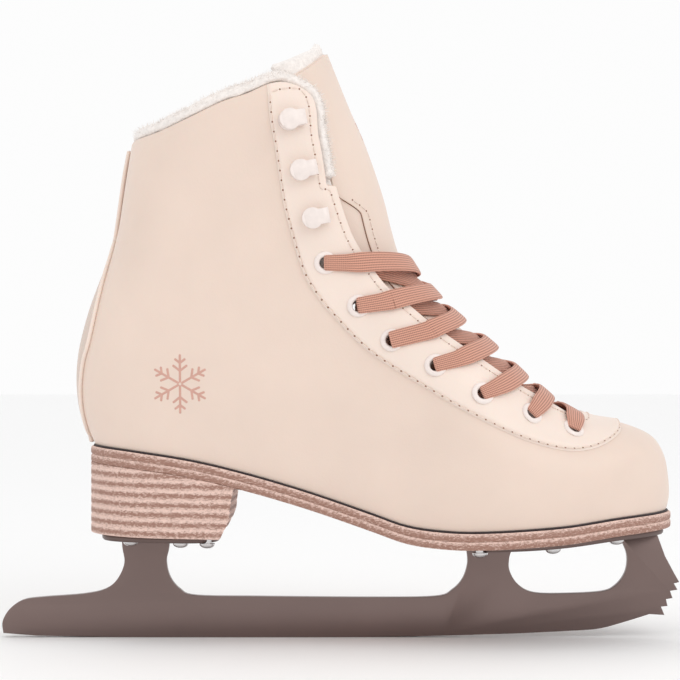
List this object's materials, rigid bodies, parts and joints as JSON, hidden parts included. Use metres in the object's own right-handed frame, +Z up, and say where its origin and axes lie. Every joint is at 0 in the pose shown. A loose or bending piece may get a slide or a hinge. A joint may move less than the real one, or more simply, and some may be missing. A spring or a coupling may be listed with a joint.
{
  "type": "figure skate",
  "caption": "Laced figure skate: padded leather boot on a stacked heel, screwed to a steel blade with toe picks; the tongue's free top folds forward.",
  "frame": {"origin": "centre of the flat that the blade stands on, on the blade's middle plane", "axes": "+X towards the toe, +Y towards the inner side of the right foot, +Z up"},
  "size_m": [0.3, 0.0946, 0.2586],
  "materials": {
    "upper_leather": "smooth coated leather, light sheen",
    "overlay_leather": "smooth coated leather, light sheen",
    "tongue_leather": "smooth coated leather over padding",
    "fleece": "short fleece pile",
    "footbed": "felt",
    "lace": "flat ribbed cotton braid",
    "stacked_sole": "edge-dressed stacked leather, light lines between the plies",
    "rand": "matt",
    "board": "fibre board",
    "enamel": "enamelled brass",
    "screws": "nickel-plated",
    "spring_steel": "blued",
    "plates": "plated, satin",
    "blade_steel": "chromed, ground at the runner"
  },
  "bodies": {
    "boot": {"backstay": "overlay_leather", "blade": "blade_steel", "eyelet_inner_1": "enamel", "eyelet_inner_2": "enamel", "eyelet_inner_3": "enamel", "eyelet_inner_4": "enamel", "eyelet_inner_5": "enamel", "eyelet_inner_6": "enamel", "eyelet_inner_7": "enamel", "eyelet_outer_1": "enamel", "eyelet_outer_2": "enamel", "eyelet_outer_3": "enamel", "eyelet_outer_4": "enamel", "eyelet_outer_5": "enamel", "eyelet_outer_6": "enamel", "eyelet_outer_7": "enamel", "facing_inner": "overlay_leather", "facing_outer": "overlay_leather", "footbed": "footbed", "heel_counter": "board", "heel_lift_lower": "stacked_sole", "heel_lift_upper": "stacked_sole", "heel_plate": "plates", "heel_screw_1": "screws", "heel_screw_2": "screws", "heel_screw_3": "screws", "heel_screw_4": "screws", "heel_screw_5": "screws", "heel_screw_6": "screws", "heel_top_piece": "stacked_sole", "heel_wedge": "stacked_sole", "hook_inner_1": "enamel", "hook_inner_2": "enamel", "hook_inner_3": "enamel", "hook_outer_1": "enamel", "hook_outer_2": "enamel", "hook_outer_3": "enamel", "insole_board": "board", "lace": "lace", "lining": "fleece", "midsole": "stacked_sole", "outsole": "stacked_sole", "rand": "rand", "shank": "spring_steel", "sole_plate": "plates", "sole_screw_1": "screws", "sole_screw_2": "screws", "sole_screw_3": "screws", "sole_screw_4": "screws", "sole_screw_5": "screws", "sole_screw_6": "screws", "toe_puff": "board", "tongue_lower": "fleece", "upper_inner": "upper_leather", "upper_outer": "upper_leather"},
    "tongue": {"tongue_upper": "fleece", "tongue_panel": "tongue_leather"}
  },
  "joints": [
    {"name": "tongue_fold", "type": "hinge", "parent": "boot", "child": "tongue", "pos_m": [0.0649, 0, 0.187], "axis": [0, 1, 0], "range_deg": [0, 35], "stiffness_Nm_per_rad": 0.2}
  ]
}
